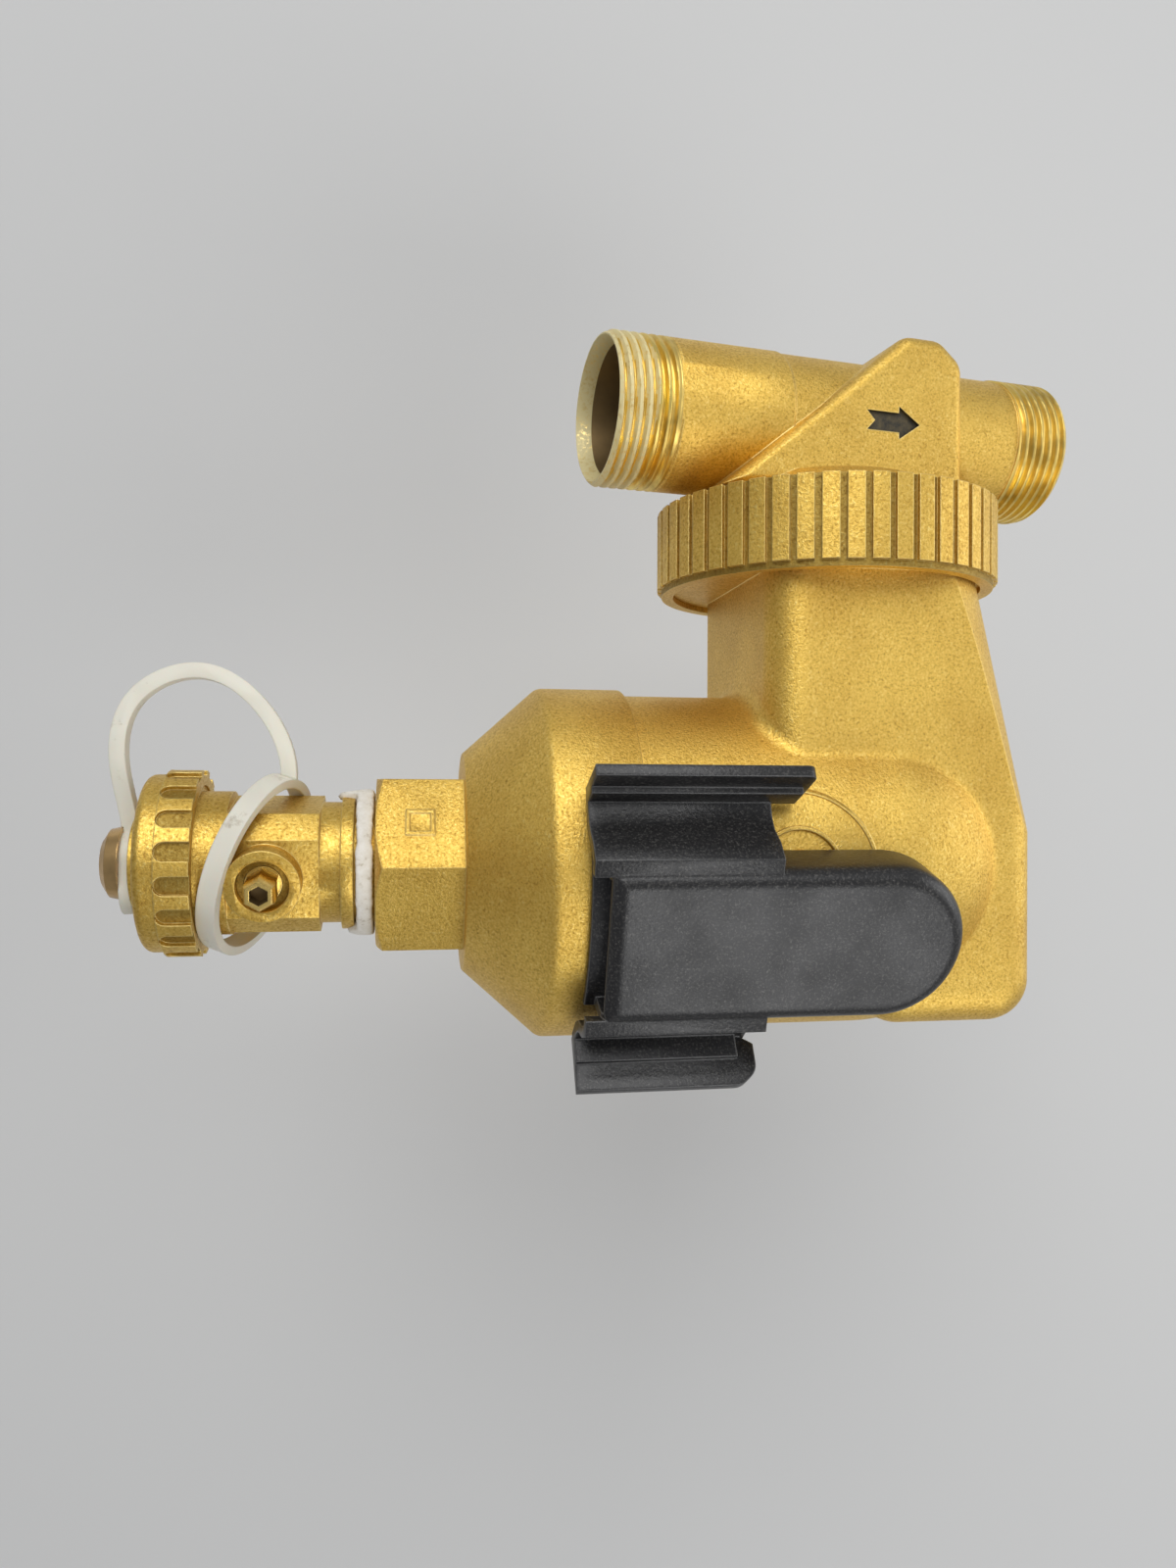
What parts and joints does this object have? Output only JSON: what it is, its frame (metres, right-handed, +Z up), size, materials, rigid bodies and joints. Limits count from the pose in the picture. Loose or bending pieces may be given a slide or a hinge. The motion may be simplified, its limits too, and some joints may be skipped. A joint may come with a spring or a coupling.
{
  "type": "dirt separator",
  "caption": "Brass magnetic dirt separator for heating pipes: threaded pipe tee, swivel ring nut, domed body, clip-on magnet holder and drain cock with strapped cap.",
  "frame": {"origin": "middle of the inlet mouth of the pipe tee", "axes": "+Z up along the separator's body axis with the drain down, -X from the body to the pipe tee, -Y the side the magnet holder faces"},
  "size_m": [0.1301, 0.0701, 0.1723],
  "materials": {
    "cast_brass": "sand-cast satin",
    "machined_brass": "machined bright",
    "copper_brass": "polished",
    "black_plastic": "fine grain",
    "white_strap": "satin",
    "white_tape": "fibrous",
    "seal_rubber": "matt",
    "seat_plastic": "smooth",
    "insert_plastic": "satin",
    "steel": "plain",
    "magnet_metal": "plated"
  },
  "bodies": {
    "tee": {"pipe_tee": "cast_brass", "split_ring": "steel", "swivel_seal": "seal_rubber"},
    "nut": {"ring_nut": "cast_brass"},
    "separator": {"separator_body": "cast_brass", "bottom_bowl": "cast_brass", "bowl_seal": "seal_rubber", "mesh_insert": "insert_plastic", "flow_tube": "insert_plastic", "drain_cock_body": "cast_brass", "upper_seat": "seat_plastic", "lower_seat": "seat_plastic", "seat_retainer": "machined_brass", "spindle_gland": "machined_brass", "thread_tape": "white_tape", "strap_collar": "white_strap", "cap_strap": "white_strap"},
    "spindle": {"drain_spindle": "machined_brass", "drain_ball": "machined_brass"},
    "cap_carriage": {"cap_rivet": "copper_brass"},
    "cap": {"drain_cap": "cast_brass", "cap_washer": "seal_rubber"},
    "holder": {"magnet_holder": "black_plastic", "keeper_plate": "steel", "magnet_1": "magnet_metal", "magnet_2": "magnet_metal", "magnet_3": "magnet_metal"}
  },
  "joints": [
    {"name": "body_swivel", "type": "hinge", "parent": "tee", "child": "separator", "pos_m": [0.0254, 0.00629, 0.04405], "axis": [1, 0, 0], "continuous": true},
    {"name": "nut_turn", "type": "hinge", "parent": "separator", "child": "nut", "pos_m": [0.0234, 0.00629, 0.04405], "axis": [1, 0, 0], "continuous": true},
    {"name": "holder_pull", "type": "slide", "parent": "separator", "child": "holder", "axis": [0.309, -0.9511, 0], "range_m": [0, 0.045]},
    {"name": "drain_turn", "type": "hinge", "parent": "separator", "child": "spindle", "pos_m": [0.0794, 0.00629, -0.0552], "axis": [0.2164, -0.9763, 0], "range_deg": [0, 90]},
    {"name": "cap_slide", "type": "slide", "parent": "separator", "child": "cap_carriage", "axis": [0, 0, -1], "range_m": [0, 0.0095], "deforming": ["cap_strap"]},
    {"name": "cap_turn", "type": "hinge", "parent": "cap_carriage", "child": "cap", "pos_m": [0.0794, 0.00629, -0.0776], "axis": [0, 0, -1], "range_deg": [0, 1887.3]}
  ],
  "couplings": [
    {"joint": "cap_turn", "follows": "cap_slide", "rad_per_m": 3463.7}
  ]
}
